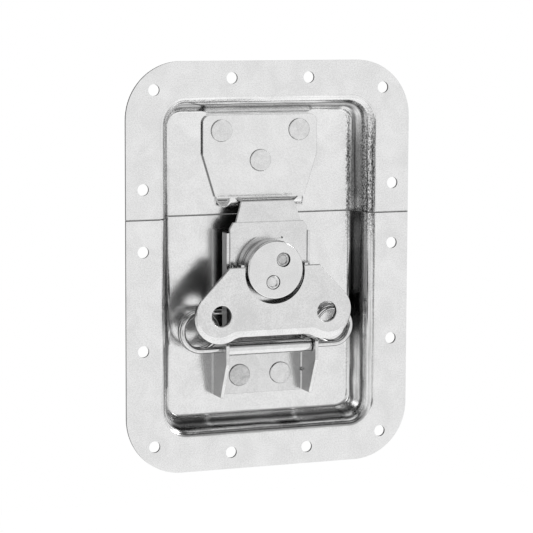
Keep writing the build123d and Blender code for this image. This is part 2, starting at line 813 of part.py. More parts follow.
with BuildPart() as wing:
    bevel_foot_y = wing_front_y + wing_bevel_depth
    full_outline = wing_outline(bevel_foot_y)
    face_outline = wing_outline(wing_front_y, wing_bevel_shift, wing_bevel_foot)
    loft([full_outline, face_outline], ruled=True)
    fillet(wing.faces().sort_by(Axis.Y)[0].edges(), wing_edge_radius)
    extrude(full_outline, amount=bevel_foot_y - wing_back_y)
    with BuildSketch(facing(wing_front_y)):
        with Locations((0, turret_z - wing_cutout_drop)):
            Circle(wing_cutout_radius)
        with Locations((-wing_hole_x, wing_hole_z), (wing_hole_x, wing_hole_z)):
            Circle(wing_hole_radius)
    extrude(amount=-wing_depth, mode=Mode.SUBTRACT)
    front_face = wing.faces().sort_by(Axis.Y)[0]
    hole_edges = front_face.edges().filter_by(
        lambda e: abs(e.center().X) > wing_cutout_radius and abs(e.center().Z - wing_hole_z) < 0.1
    )
    fillet(hole_edges, wing_hole_edge)
    # Behind, the sheet is thin out to its sloping sides and thick round the holes, the
    # lobes and the foot.
    with BuildSketch(facing(wing_back_y)):
        with Locations((-lobe_x, lobe_z), (lobe_x, lobe_z)):
            Circle(lobe_radius - wing_rim_width)
        with BuildLine():
            Polyline(
                (0, wing_foot + wing_bevel_foot + wing_rim_width),
                (lobe_x, wing_foot + wing_bevel_foot + wing_rim_width),
                (lobe_x + lobe_radius, lobe_z + lobe_radius / 2),
                (lobe_x + lobe_radius, wing_top + cut_margin),
                (0, wing_top + cut_margin),
            )
            mirror(about=Plane.YZ)
        make_face()
        with Locations((-wing_hole_x, wing_hole_z), (wing_hole_x, wing_hole_z)):
            Circle(wing_hole_radius + wing_rim_width / 2, mode=Mode.SUBTRACT)
    extrude(amount=wing_depth - wing_skin, mode=Mode.SUBTRACT)
    for side in (-1, 1):
        with BuildSketch(Plane.YZ.offset(side * lug_inner_x)) as lug:
            with Locations((wing_pin_y, turret_z)):
                Circle(lug_radius)
            with BuildLine():
                Polyline(
                    (wing_pin_y, turret_z + lug_radius),
                    (wing_front_y + wing_skin / 2, turret_z + lug_radius),
                    (wing_front_y + wing_skin / 2, lug_foot),
                    (wing_front_y + wing_skin, lug_foot),
                    (wing_pin_y, turret_z - lug_radius),
                    close=True,
                )
            make_face()
        extrude(amount=side * lug_sheet)
    with BuildSketch(Plane.YZ):
        with Locations((wing_pin_y, turret_z)):
            Circle(wing_pin_radius + wing_pin_fit)
    extrude(amount=wing_top_half_width, both=True, mode=Mode.SUBTRACT)
finish(wing, "wing")
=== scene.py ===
"""Looks of a recessed butterfly case latch in bright zinc-plated steel.

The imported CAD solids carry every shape. This script gives each of them its finish,
and sets the studio, the lamps and the camera round them.
"""

import json
from math import cos, radians, sin

import bpy
from mathutils import Matrix, Vector


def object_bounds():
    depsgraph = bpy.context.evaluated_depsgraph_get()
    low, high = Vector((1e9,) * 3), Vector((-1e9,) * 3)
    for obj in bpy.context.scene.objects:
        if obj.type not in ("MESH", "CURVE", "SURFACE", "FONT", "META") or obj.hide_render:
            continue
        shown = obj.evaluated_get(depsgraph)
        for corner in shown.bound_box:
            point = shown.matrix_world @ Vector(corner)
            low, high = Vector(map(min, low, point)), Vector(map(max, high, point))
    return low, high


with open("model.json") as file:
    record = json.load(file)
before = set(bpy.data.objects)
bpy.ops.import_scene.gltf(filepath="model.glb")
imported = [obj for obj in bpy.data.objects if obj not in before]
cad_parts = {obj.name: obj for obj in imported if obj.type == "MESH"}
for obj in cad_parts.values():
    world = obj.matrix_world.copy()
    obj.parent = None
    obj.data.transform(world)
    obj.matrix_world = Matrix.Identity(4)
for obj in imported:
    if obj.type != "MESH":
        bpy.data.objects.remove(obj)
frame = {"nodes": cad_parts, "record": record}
cad_low, cad_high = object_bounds()
nodes = frame["nodes"]
record = frame["record"]

# ---- Sizes, in metres --------------------------------------------------------------
MM = 0.001
RECESS_HALF_WIDTH = 46.7 * MM  # the recess's mouth, at the flange's front face
RECESS_HALF_HEIGHT = 69.7 * MM
RECESS_CORNER = 10 * MM

# ---- Camera ------------------------------------------------------------------------
CAMERA_AZIMUTH = -21.324  # degrees, from the left of straight on
CAMERA_ELEVATION = 7.072
CAMERA_ROLL = 0.228
CAMERA_DISTANCE = 941.7 * MM
CAMERA_AIM = Vector((-1.12 * MM, 0.0, -0.58 * MM))
CAMERA_LENS = 150.88  # mm on a 36 mm sensor

# ---- Studio ------------------------------------------------------------------------
FLOOR_DROP = 60 * MM  # the floor lies this far under the flange's foot
FLOOR_SIZE = 0.4
FLOOR_COLOUR = (0.90, 0.90, 0.90, 1.0)
FLOOR_ROUGHNESS = 0.9
FLOOR_SHADE = 0.3  # how much of the floor's own shading, with the shadow, shows
FLOOR_GLOW = 1.26  # brings the floor outside the shadow up to white
KEY_LAMP = {"azimuth": 60, "elevation": 30, "distance": 1.6, "size": 0.5, "watts": 3.0}

# What the metal mirrors, as cards on a sphere round the object. Azimuth 0 is straight
# in front, azimuth 90 to the right, and each card covers what was there before it.
# name: (azimuth, elevation, half width, half height, soft edge, brightness), in degrees
SURROUND = 0.95
CARDS = {
    "front_box": (30, -2, 60, 34, 6, 1.05),
    "side_gap": (128, 0, 14, 60, 8, 0.10),
    "ceiling_dim": (0, 43, 180, 13, 14, 0.42),
    "ceiling_gap": (0, 54, 180, 5, 6, 0.06),
    "camera_gap": (-21, -2, 9, 6, 1.5, 0.01),
}

# ---- Walls of the recess -----------------------------------------------------------
# Tone of the drawn walls from the floor (least) out to the flange: painted reflections,
# dark and bright bands standing in for what the walls mirror, and painted shade. The first
# figure of each pair is the distance outside the recess's mouth, in mm. The tones are
# painted into the colour, so they stay in place when the latch moves.
WALL_START, WALL_END = -7.4, 2.6
RIGHT_PAINTED_REFLECTIONS = (
    (-6.60, 1.00), (-5.80, 1.00), (-4.90, 0.95), (-4.55, 0.60), (-4.35, 0.22),
    (-3.90, 0.20), (-3.65, 0.50), (-3.40, 0.80), (-2.50, 0.80), (-2.20, 0.34),
    (-1.90, 0.34), (-1.60, 0.80), (-1.45, 1.00), (2.40, 1.00),
)
# Painted reflections of the scuffed stretch of the right wall, darker, partly for the scuffing.
SCUFFED_PAINTED_REFLECTIONS = (
    (-6.60, 1.00), (-6.30, 0.50), (-5.70, 0.26), (-4.70, 0.32), (-4.30, 0.28),
    (-4.05, 0.20), (-3.75, 0.05), (-3.55, 0.16), (-3.00, 0.27), (-2.10, 0.23),
    (-1.60, 0.34), (-1.43, 0.50), (-1.30, 0.32), (-1.20, 0.08), (-1.05, 0.20),
    (-0.80, 0.55), (-0.20, 0.50), (0.20, 0.24), (0.60, 0.10), (0.90, 0.28),
    (1.10, 0.92), (2.40, 1.00),
)
BOTTOM_PAINTED_REFLECTIONS = (
    (-6.60, 1.00), (-5.60, 1.00), (-5.00, 0.90), (-4.50, 0.85), (-4.15, 1.00),
    (-3.90, 0.55), (-3.50, 0.26), (-3.20, 0.12), (-2.90, 0.24), (-2.50, 0.85),
    (-2.20, 1.30), (-1.90, 0.85), (-1.50, 0.22), (-1.35, 0.12), (-1.20, 0.40),
    (-1.05, 1.00), (-0.90, 1.05), (0.00, 1.00), (0.30, 0.70), (0.60, 0.85),
    (0.90, 1.00), (2.40, 1.00),
)
TOP_PAINTED_REFLECTIONS = (
    (-7.2, 1.05), (-4.0, 1.05), (-3.8, 0.70), (-3.5, 0.16), (-3.3, 0.14), (-3.0, 0.34),
    (-2.5, 0.75), (-2.1, 0.34), (-1.9, 0.30), (-1.6, 0.60), (-1.3, 1.05), (2.4, 1.00),
)
LEFT_PAINTED_REFLECTIONS = (
    (-7.2, 1.00), (-5.6, 0.90), (-4.6, 0.62), (-3.0, 0.55), (-2.0, 0.70), (-1.2, 0.95),
    (-0.4, 1.00), (2.4, 1.00),
)
# Painted reflection tone of the right wall's middle from the foot to the head, by height
# in mm, and of the bottom wall's from left to right: below 1 painted shade and dark
# reflections, above 1 painted highlights.
RIGHT_RUN_START, RIGHT_RUN_END = -70, 70
RIGHT_PAINTED_RUN = (
    (-66, 1.00), (-50, 1.20), (-44, 1.25), (-38.5, 1.00), (-36, 0.85), (-33.3, 0.55),
    (-31, 0.26), (-28, 0.12), (-25.5, 0.08), (-23, 0.04), (-20.3, 0.02), (-17.7, 0.02),
    (-15, 0.05), (-12.5, 0.16), (-2, 0.16), (3, 0.20), (6, 0.30), (16, 0.34),
    (20.8, 0.34), (21, 1.60), (22, 2.40), (25, 1.90), (29, 1.00), (40, 1.05),
    (50, 1.25), (62, 1.50),
)
BOTTOM_RUN_START, BOTTOM_RUN_END = -50, 50
BOTTOM_PAINTED_RUN = (
    (-44, 0.45), (-35, 0.60), (-20, 1.00), (0, 1.50), (20, 1.70), (36, 1.40),
    (42, 0.80), (47, 0.50),
)
SPLIT_HEIGHT = 20.9  # mm, where the two halves of the dish meet
SPLIT_SOFT = 0.1  # mm on each side of it over which the halves' finishes change
SPLIT_SHADOW = (0.15 * MM, 0.5 * MM)  # the dark line's solid and soft half widths
SPLIT_TONE = 0.35

# Bands across the wall, each from where it starts to where it ends, as (none, full)
# distances outside the mouth at either end, in mm.
RIGHT_BAND = (-5.3, -4.7), (-2.1, -2.5)
BOTTOM_BAND = (-4.9, -4.5), (-1.2, -1.6)
SCUFF_BAND = (-7.2, -6.2), (1.3, 0.9)
STREAK_BAND = (-6.6, -5.6), (2.4, 1.0)

# How the scuffing, and the darker painted reflections with it, dies away up the lid half
# and down the box half, by height in mm.
SCUFF_FADE_UP = 70.0, 46.0, 0.1, 1.0
SCUFF_FADE_DOWN = 4.0, SPLIT_HEIGHT, 0.0, 0.75
SCUFF_ON_BAND = 0.75  # how much of the scuffing the band leaves out
SCUFF_ROUGHNESS = 0.10
CORNER_BLEND = 3.0  # mm, how gently one wall's tones pass into the next one's
MIDDLE_BLEND = 5.0
WANDER_SCALE, WANDER_DEPTH = 0.06, 0.9  # the bands wander by this, in mm
STREAK_PULL = 0.35  # and follow the streaks by this
STREAK_TONES = 0.72, 1.22
SPECK_TONES = 0.25, 2.1
BRIGHTEST_TONE = 1.06

# Faint painted dark reflections on the recess's floor beside the latch, as capsules in mm:
# (from x, from z, to x, to z, radius, soft edge, tone)
PAINTED_DARK_REFLECTIONS = (
    (-18.0, 18.0, -18.0, -4.0, 3.0, 5.5, 0.92),
    (-31.0, -7.0, -24.0, -6.0, 2.5, 8.0, 0.97),
)


# ---- Node helpers ------------------------------------------------------------------
def new_group(name, inputs, outputs):
    """An empty shader group with those named sockets, and its two end nodes."""
    tree = bpy.data.node_groups.new(name, "ShaderNodeTree")
    for label, kind, default in inputs:
        socket = tree.interface.new_socket(label, in_out="INPUT", socket_type=kind)
        if default is not None:
            socket.default_value = default
    for label, kind in outputs:
        tree.interface.new_socket(label, in_out="OUTPUT", socket_type=kind)
    return tree, tree.nodes.new("NodeGroupInput"), tree.nodes.new("NodeGroupOutput")


def feed(tree, socket, value):
    """Links value to socket if it is a socket, and otherwise sets it."""
    if isinstance(value, bpy.types.NodeSocket):
        tree.links.new(value, socket)
    else:
        socket.default_value = value


def math_node(tree, operation, *values, clamp=False):
    node = tree.nodes.new("ShaderNodeMath")
    node.operation = operation
    node.use_clamp = clamp
    for socket, value in zip(node.inputs, values):
        feed(tree, socket, value)
    return node.outputs[0]


def vector_node(tree, operation, *values):
    node = tree.nodes.new("ShaderNodeVectorMath")
    node.operation = operation
    for socket, value in zip(node.inputs, values):
        feed(tree, socket, value)
    return node.outputs["Value"] if operation in ("LENGTH", "DOT_PRODUCT") else node.outputs[0]


def range_node(tree, value, low, high, to_low=0.0, to_high=1.0, smooth=True):
    node = tree.nodes.new("ShaderNodeMapRange")
    node.interpolation_type = "SMOOTHSTEP" if smooth else "LINEAR"
    settings = {
        "Value": value, "From Min": low, "From Max": high, "To Min": to_low, "To Max": to_high
    }
    for label, setting in settings.items():
        feed(tree, node.inputs[label], setting)
    return node.outputs[0]


def band_node(tree, value, start, end):
    """1 inside the band, and down to 0 beyond its two soft ends."""
    begun = range_node(tree, value, *start)
    return math_node(tree, "MULTIPLY", begun, range_node(tree, value, *end))


def noise_node(tree, place, scale, detail=2.0, roughness=0.5, distortion=0.0):
    node = tree.nodes.new("ShaderNodeTexNoise")
    settings = {
        "Vector": place,
        "Scale": scale,
        "Detail": detail,
        "Roughness": roughness,
        "Distortion": distortion,
    }
    for label, setting in settings.items():
        feed(tree, node.inputs[label], setting)
    return node.outputs["Fac"]


def use_group(tree, group, **values):
    """Places group in tree. Each keyword is an input's name, with _ for a space."""
    node = tree.nodes.new("ShaderNodeGroup")
    node.node_tree = group
    for label, value in values.items():
        feed(tree, node.inputs[label.replace("_", " ")], value)
    return node.outputs


# ---- Effects shared by the metals --------------------------------------------------
# Parts of a face's normal between which it starts to count and fully counts as turned
# to the left, to the back and to the front.
TO_THE_LEFT = -0.25, -0.6
TO_THE_BACK = 0.3, 0.7
TO_THE_FRONT = 0.15, -0.15


def make_plate_cloud():
    """Cloudy shade of zinc plate, broad clouds with finer ones in them."""
    tree, given, out = new_group(
        "plate_cloud",
        [
            ("Place", "NodeSocketVector", None),
            ("Cloud Size", "NodeSocketFloat", 12 * MM),
            ("Grain Size", "NodeSocketFloat", 1.2 * MM),
        ],
        [("Cloud", "NodeSocketFloat"), ("Grain", "NodeSocketFloat")],
    )
    per_cloud = math_node(tree, "DIVIDE", 1.0, given.outputs["Cloud Size"])
    per_grain = math_node(tree, "DIVIDE", 1.0, given.outputs["Grain Size"])
    cloud = noise_node(tree, given.outputs["Place"], per_cloud, 4.0, 0.6, 0.6)
    grain = noise_node(tree, given.outputs["Place"], per_grain, 3.0, 0.65)
    tree.links.new(cloud, out.inputs["Cloud"])
    tree.links.new(grain, out.inputs["Grain"])
    return tree


def make_drawn_lines():
    """Fine lines from rolling, long along Z and narrow across it."""
    tree, given, out = new_group(
        "drawn_lines",
        [
            ("Place", "NodeSocketVector", None),
            ("Line Width", "NodeSocketFloat", 0.4 * MM),
            ("Stretch", "NodeSocketFloat", 0.03),
        ],
        [("Lines", "NodeSocketFloat")],
    )
    squeeze = tree.nodes.new("ShaderNodeCombineXYZ")
    squeeze.inputs["X"].default_value = 1.0
    squeeze.inputs["Y"].default_value = 1.0
    tree.links.new(given.outputs["Stretch"], squeeze.inputs["Z"])
    drawn = vector_node(tree, "MULTIPLY", given.outputs["Place"], squeeze.outputs[0])
    per_line = math_node(tree, "DIVIDE", 1.0, given.outputs["Line Width"])
    tree.links.new(noise_node(tree, drawn, per_line, 3.0, 0.6), out.inputs["Lines"])
    return tree


def make_recess_distance():
    """How far a point lies outside the recess's mouth, seen from the front."""
    tree, given, out = new_group(
        "recess_distance",
        [
            ("Place", "NodeSocketVector", None),
            ("Half Width", "NodeSocketFloat", RECESS_HALF_WIDTH),
            ("Half Height", "NodeSocketFloat", RECESS_HALF_HEIGHT),
            ("Corner", "NodeSocketFloat", RECESS_CORNER),
        ],
        [("Distance", "NodeSocketFloat")],
    )
    apart = tree.nodes.new("ShaderNodeSeparateXYZ")
    tree.links.new(given.outputs["Place"], apart.inputs[0])
    beyond = []
    for axis, half in (("X", "Half Width"), ("Z", "Half Height")):
        side = math_node(tree, "ABSOLUTE", apart.outputs[axis])
        straight = math_node(tree, "SUBTRACT", given.outputs[half], given.outputs["Corner"])
        beyond.append(math_node(tree, "SUBTRACT", side, straight))
    outside = [math_node(tree, "MAXIMUM", b, 0.0) for b in beyond]
    squares = [math_node(tree, "POWER", o, 2.0) for o in outside]
    reach = math_node(tree, "SQRT", math_node(tree, "ADD", *squares))
    inside = math_node(tree, "MINIMUM", math_node(tree, "MAXIMUM", *beyond), 0.0)
    distance = math_node(tree, "ADD", reach, inside)
    distance = math_node(tree, "SUBTRACT", distance, given.outputs["Corner"])
    tree.links.new(distance, out.inputs["Distance"])
    return tree


def make_cut_edge():
    """Masks of the faces square to the sheet, of those to the left, and of the backs, which
    the metals darken with painted shade, the square faces partly for their bare steel.
    """
    tree, given, out = new_group(
        "cut_edge",
        [
            ("Normal", "NodeSocketVector", None),
            ("Square", "NodeSocketFloat", 0.05),
            ("Round", "NodeSocketFloat", 0.28),
        ],
        [("Mask", "NodeSocketFloat"), ("Side", "NodeSocketFloat"), ("Back", "NodeSocketFloat")],
    )
    apart = tree.nodes.new("ShaderNodeSeparateXYZ")
    tree.links.new(given.outputs["Normal"], apart.inputs[0])
    facing = math_node(tree, "ABSOLUTE", apart.outputs["Y"])
    mask = range_node(tree, facing, given.outputs["Round"], given.outputs["Square"])
    aside = range_node(tree, apart.outputs["X"], *TO_THE_LEFT)
    tree.links.new(mask, out.inputs["Mask"])
    tree.links.new(math_node(tree, "MULTIPLY", mask, aside), out.inputs["Side"])
    tree.links.new(range_node(tree, apart.outputs["Y"], *TO_THE_BACK), out.inputs["Back"])
    return tree


def make_painted_dark_reflection():
    """Tone of a painted dark reflection, a capsule with a soft edge, in the plane of the sheet."""
    tree, given, out = new_group(
        "painted_dark_reflection",
        [
            ("Place", "NodeSocketVector", None),
            ("Start", "NodeSocketVector", None),
            ("End", "NodeSocketVector", None),
            ("Radius", "NodeSocketFloat", 0.003),
            ("Soft", "NodeSocketFloat", 0.004),
            ("Tone", "NodeSocketFloat", 0.5),
        ],
        [("Tone", "NodeSocketFloat")],
    )
    flat = vector_node(tree, "MULTIPLY", given.outputs["Place"], (1.0, 0.0, 1.0))
    reach = vector_node(tree, "SUBTRACT", given.outputs["End"], given.outputs["Start"])
    off = vector_node(tree, "SUBTRACT", flat, given.outputs["Start"])
    covered = vector_node(tree, "DOT_PRODUCT", off, reach)
    whole = vector_node(tree, "DOT_PRODUCT", reach, reach)
    along = math_node(tree, "DIVIDE", covered, whole, clamp=True)
    scaled = tree.nodes.new("ShaderNodeVectorMath")
    scaled.operation = "SCALE"
    tree.links.new(reach, scaled.inputs[0])
    tree.links.new(along, scaled.inputs["Scale"])
    away = vector_node(tree, "LENGTH", vector_node(tree, "SUBTRACT", off, scaled.outputs[0]))
    edge = math_node(tree, "ADD", given.outputs["Radius"], given.outputs["Soft"])
    tone = range_node(tree, away, edge, given.outputs["Radius"], 1.0, given.outputs["Tone"])
    tree.links.new(tone, out.inputs["Tone"])
    return tree


RAMP_CEILING = 4.0  # a ramp's tones are stored as shares of this, as some are above 1


def ramp_node(tree, value, stops, start, end):
    """Grey ramp over value, which is in the same unit as the stops."""
    place = range_node(tree, value, start, end, smooth=False)
    node = tree.nodes.new("ShaderNodeValToRGB")
    tree.links.new(place, node.inputs[0])
    elements = node.color_ramp.elements
    while len(elements) < len(stops):
        elements.new(0.5)
    for element, (where, tone) in zip(elements, stops):
        element.position = (where - start) / (end - start)
        element.color = (*(tone / RAMP_CEILING,) * 3, 1.0)
    return math_node(tree, "MULTIPLY", node.outputs[0], RAMP_CEILING)


def mix_value(tree, factor, first, second):
    node = tree.nodes.new("ShaderNodeMix")
    feed(tree, node.inputs[0], factor)
    feed(tree, node.inputs[2], first)
    feed(tree, node.inputs[3], second)
    return node.outputs[0]


def make_wall_wear_and_painted_reflections():
    """Tone of the recess's walls, painted reflections and painted shade, with streaks along
    them and specks where scuffed.
    """
    tree, given, out = new_group(
        "wall_wear_and_painted_reflections",
        [
            ("Place", "NodeSocketVector", None),
            ("Distance", "NodeSocketFloat", 0.0),
            ("Streak Width", "NodeSocketFloat", 0.35),
            ("Streak Length", "NodeSocketFloat", 22.0),
            ("Speck Size", "NodeSocketFloat", 0.55),
        ],
        [(label, "NodeSocketFloat") for label in ("Tone", "Scuff", "Streaks", "Specks")],
    )
    place = vector_node(tree, "MULTIPLY", given.outputs["Place"], (1 / MM,) * 3)
    apart = tree.nodes.new("ShaderNodeSeparateXYZ")
    tree.links.new(place, apart.inputs[0])
    x, z = apart.outputs["X"], apart.outputs["Z"]
    far = math_node(tree, "MULTIPLY", given.outputs["Distance"], 1 / MM)
    # Streaks: fine across the wall, long along it.
    joined = tree.nodes.new("ShaderNodeCombineXYZ")
    for axis, way, size in (
        ("X", far, "Streak Width"),
        ("Y", x, "Streak Length"),
        ("Z", z, "Streak Length"),
    ):
        streak = math_node(tree, "DIVIDE", way, given.outputs[size])
        tree.links.new(streak, joined.inputs[axis])
    streaks = noise_node(tree, joined.outputs[0], 1.0, 3.0, 0.6)
    wander = math_node(tree, "SUBTRACT", noise_node(tree, place, WANDER_SCALE), 0.5)
    where = math_node(tree, "MULTIPLY_ADD", wander, WANDER_DEPTH, far)
    pull = math_node(tree, "SUBTRACT", streaks, 0.5)
    where = math_node(tree, "MULTIPLY_ADD", pull, STREAK_PULL, where)
    # Which wall it is.
    off_x = math_node(tree, "SUBTRACT", math_node(tree, "ABSOLUTE", x), RECESS_HALF_WIDTH / MM)
    off_z = math_node(tree, "SUBTRACT", math_node(tree, "ABSOLUTE", z), RECESS_HALF_HEIGHT / MM)
    nearer_side = math_node(tree, "SUBTRACT", off_x, off_z)
    beside = range_node(tree, nearer_side, -CORNER_BLEND, CORNER_BLEND)
    is_right = range_node(tree, x, -MIDDLE_BLEND, MIDDLE_BLEND)
    is_top = range_node(tree, z, -MIDDLE_BLEND, MIDDLE_BLEND)
    on_right = math_node(tree, "MULTIPLY", beside, is_right)
    middle = band_node(tree, where, *RIGHT_BAND)
    # Painted reflections and highlights along the right wall's middle, by height.
    right_painted_run = ramp_node(tree, z, RIGHT_PAINTED_RUN, RIGHT_RUN_START, RIGHT_RUN_END)
    right_painted_run = mix_value(tree, middle, 1.0, right_painted_run)
    split_low, split_high = SPLIT_HEIGHT - SPLIT_SOFT, SPLIT_HEIGHT + SPLIT_SOFT
    above = range_node(tree, z, split_low, split_high)
    above = math_node(tree, "MULTIPLY", above, range_node(tree, z, *SCUFF_FADE_UP))
    below = range_node(tree, z, *SCUFF_FADE_DOWN)
    below = math_node(tree, "MULTIPLY", below, range_node(tree, z, split_high, split_low))
    scuff_and_painted_shade = math_node(tree, "ADD", above, below)
    # Painted reflections and painted shade across each wall.
    right_low = ramp_node(tree, where, RIGHT_PAINTED_REFLECTIONS, WALL_START, WALL_END)
    right_high = ramp_node(tree, where, SCUFFED_PAINTED_REFLECTIONS, WALL_START, WALL_END)
    right = mix_value(tree, scuff_and_painted_shade, right_low, right_high)
    right = math_node(tree, "MULTIPLY", right, right_painted_run)
    # Painted reflections and highlights along the bottom wall's middle, from left to right.
    bottom_painted_run = ramp_node(tree, x, BOTTOM_PAINTED_RUN, BOTTOM_RUN_START, BOTTOM_RUN_END)
    bottom_painted_run = mix_value(tree, band_node(tree, where, *BOTTOM_BAND), 1.0, bottom_painted_run)
    bottom = ramp_node(tree, where, BOTTOM_PAINTED_REFLECTIONS, WALL_START, WALL_END)
    bottom = math_node(tree, "MULTIPLY", bottom, bottom_painted_run)
    top = ramp_node(tree, where, TOP_PAINTED_REFLECTIONS, WALL_START, WALL_END)
    left = ramp_node(tree, where, LEFT_PAINTED_REFLECTIONS, WALL_START, WALL_END)
    ends = mix_value(tree, is_top, bottom, top)
    sides = mix_value(tree, is_right, left, right)
    tone = mix_value(tree, beside, ends, sides)
    # Specks on the scuffed stretch, and streaks all round.
    longer = vector_node(tree, "DIVIDE", place, (1.0, 1.0, 1.5))
    per_speck = math_node(tree, "DIVIDE", 1.0, given.outputs["Speck Size"])
    speck = range_node(tree, noise_node(tree, longer, per_speck, 3.0, 0.7), 0.40, 0.60)
    rims = math_node(tree, "SUBTRACT", 1.0, math_node(tree, "MULTIPLY", middle, SCUFF_ON_BAND))
    kept = math_node(tree, "MULTIPLY", rims, band_node(tree, where, *SCUFF_BAND))
    scuffed = math_node(tree, "MULTIPLY", math_node(tree, "MULTIPLY", on_right, scuff_and_painted_shade), kept)
    speckled = range_node(tree, speck, 0.0, 1.0, *SPECK_TONES, smooth=False)
    tone = math_node(tree, "MULTIPLY", tone, mix_value(tree, scuffed, 1.0, speckled))
    wall = band_node(tree, far, *STREAK_BAND)
    streaked = range_node(tree, streaks, 0.3, 0.7, *STREAK_TONES, smooth=False)
    tone = math_node(tree, "MULTIPLY", tone, mix_value(tree, wall, 1.0, streaked))
    tree.links.new(math_node(tree, "MINIMUM", tone, BRIGHTEST_TONE), out.inputs["Tone"])
    tree.links.new(scuffed, out.inputs["Scuff"])
    tree.links.new(math_node(tree, "MULTIPLY", streaks, wall), out.inputs["Streaks"])
    tree.links.new(speck, out.inputs["Specks"])
    return tree


plate_cloud = make_plate_cloud()
drawn_lines = make_drawn_lines()
recess_distance = make_recess_distance()
cut_edge = make_cut_edge()
wall_wear_and_painted_reflections = make_wall_wear_and_painted_reflections()
painted_dark_reflection = make_painted_dark_reflection()


# ---- Materials ---------------------------------------------------------------------
def new_material(name):
    """A material with a bare Principled shader, and the object's own coordinates."""
    material = bpy.data.materials.new(name)
    material.use_nodes = True
    tree = material.node_tree
    shader = next(n for n in tree.nodes if n.type == "BSDF_PRINCIPLED")
    place = tree.nodes.new("ShaderNodeTexCoord").outputs["Object"]
    return material, tree, shader, place


def mix_colour(tree, factor, dark, light):
    node = tree.nodes.new("ShaderNodeMix")
    node.data_type = "RGBA"
    tree.links.new(factor, node.inputs[0])
    node.inputs[6].default_value = (*dark, 1.0)
    node.inputs[7].default_value = (*light, 1.0)
    return node.outputs[2]


def scale_colour(tree, colour, tone):
    node = tree.nodes.new("ShaderNodeVectorMath")
    node.operation = "SCALE"
    tree.links.new(colour, node.inputs[0])
    feed(tree, node.inputs["Scale"], tone)
    return node.outputs[0]


def bump_node(tree, height, distance, strength=1.0, normal=None):
    node = tree.nodes.new("ShaderNodeBump")
    node.inputs["Distance"].default_value = distance
    node.inputs["Strength"].default_value = strength
    tree.links.new(height, node.inputs["Height"])
    if normal is not None:
        tree.links.new(normal, node.inputs["Normal"])
    return node.outputs[0]


def pressed_walls(tree, place, normal, rough, colour):
    """Streaked and scuffed walls where the sheet was drawn in, with painted reflections and
    painted shade in their tone, and painted dark reflections on the recess's floor.
    """
    distance = use_group(tree, recess_distance, Place=place)["Distance"]
    walls = use_group(tree, wall_wear_and_painted_reflections, Place=place, Distance=distance)
    # The fold rolls over softly into the wall.
    rolled = range_node(tree, distance, *ROLL_BAND, 1.0, 0.0)
    normal = bump_node(tree, rolled, ROLL_DEPTH, normal=normal)
    normal = bump_node(tree, walls["Streaks"], STREAK_DEPTH, normal=normal)
    specked = math_node(tree, "MULTIPLY", walls["Specks"], walls["Scuff"])
    normal = bump_node(tree, specked, SPECK_DEPTH, normal=normal)
    rough = math_node(tree, "MULTIPLY_ADD", walls["Scuff"], SCUFF_ROUGHNESS, rough)
    facing = tree.nodes.new("ShaderNodeSeparateXYZ")
    tree.links.new(tree.nodes.new("ShaderNodeTexCoord").outputs["Normal"], facing.inputs[0])
    front = range_node(tree, facing.outputs["Y"], *TO_THE_FRONT)
    # Painted reflections and painted shade of the walls.
    tone = walls["Tone"]
    # Painted dark reflections on the recess's floor.
    for from_x, from_z, to_x, to_z, radius, soft, shade in PAINTED_DARK_REFLECTIONS:
        painted_reflection_tone = use_group(
            tree,
            painted_dark_reflection,
            Place=place,
            Start=(from_x * MM, 0, from_z * MM),
            End=(to_x * MM, 0, to_z * MM),
            Radius=radius * MM,
            Soft=soft * MM,
            Tone=shade,
        )["Tone"]
        tone = math_node(tree, "MULTIPLY", tone, painted_reflection_tone)
    apart = tree.nodes.new("ShaderNodeSeparateXYZ")
    tree.links.new(place, apart.inputs[0])
    from_split = math_node(tree, "SUBTRACT", apart.outputs["Z"], SPLIT_HEIGHT * MM)
    from_split = math_node(tree, "ABSOLUTE", from_split)
    split_line = range_node(tree, from_split, *SPLIT_SHADOW, SPLIT_TONE, 1.0)
    tone = math_node(tree, "MULTIPLY", tone, split_line)
    return normal, rough, scale_colour(tree, colour, mix_value(tree, front, 1.0, tone))


def turned_rings(tree, place):
    """Fine rings round the axis of a turned piece, by depth."""
    apart = tree.nodes.new("ShaderNodeSeparateXYZ")
    tree.links.new(place, apart.inputs[0])
    joined = tree.nodes.new("ShaderNodeCombineXYZ")
    across = math_node(tree, "MULTIPLY", apart.outputs["Y"], 1 / RING_WIDTH)
    along = math_node(tree, "MULTIPLY", apart.outputs["X"], 1 / RING_LENGTH)
    tree.links.new(across, joined.inputs["Y"])
    tree.links.new(along, joined.inputs["X"])
    rings = noise_node(tree, joined.outputs[0], 1.0, 3.0, 0.6)
    return range_node(tree, rings, 0.38, 0.62, RING_TONE, 1.0)


def blend(tree, cloud, cloud_share):
    """Clouds and grain mixed, by the clouds' share."""
    clouds = math_node(tree, "MULTIPLY", cloud["Cloud"], cloud_share)
    grains = math_node(tree, "MULTIPLY", cloud["Grain"], 1.0 - cloud_share)
    return math_node(tree, "ADD", clouds, grains)


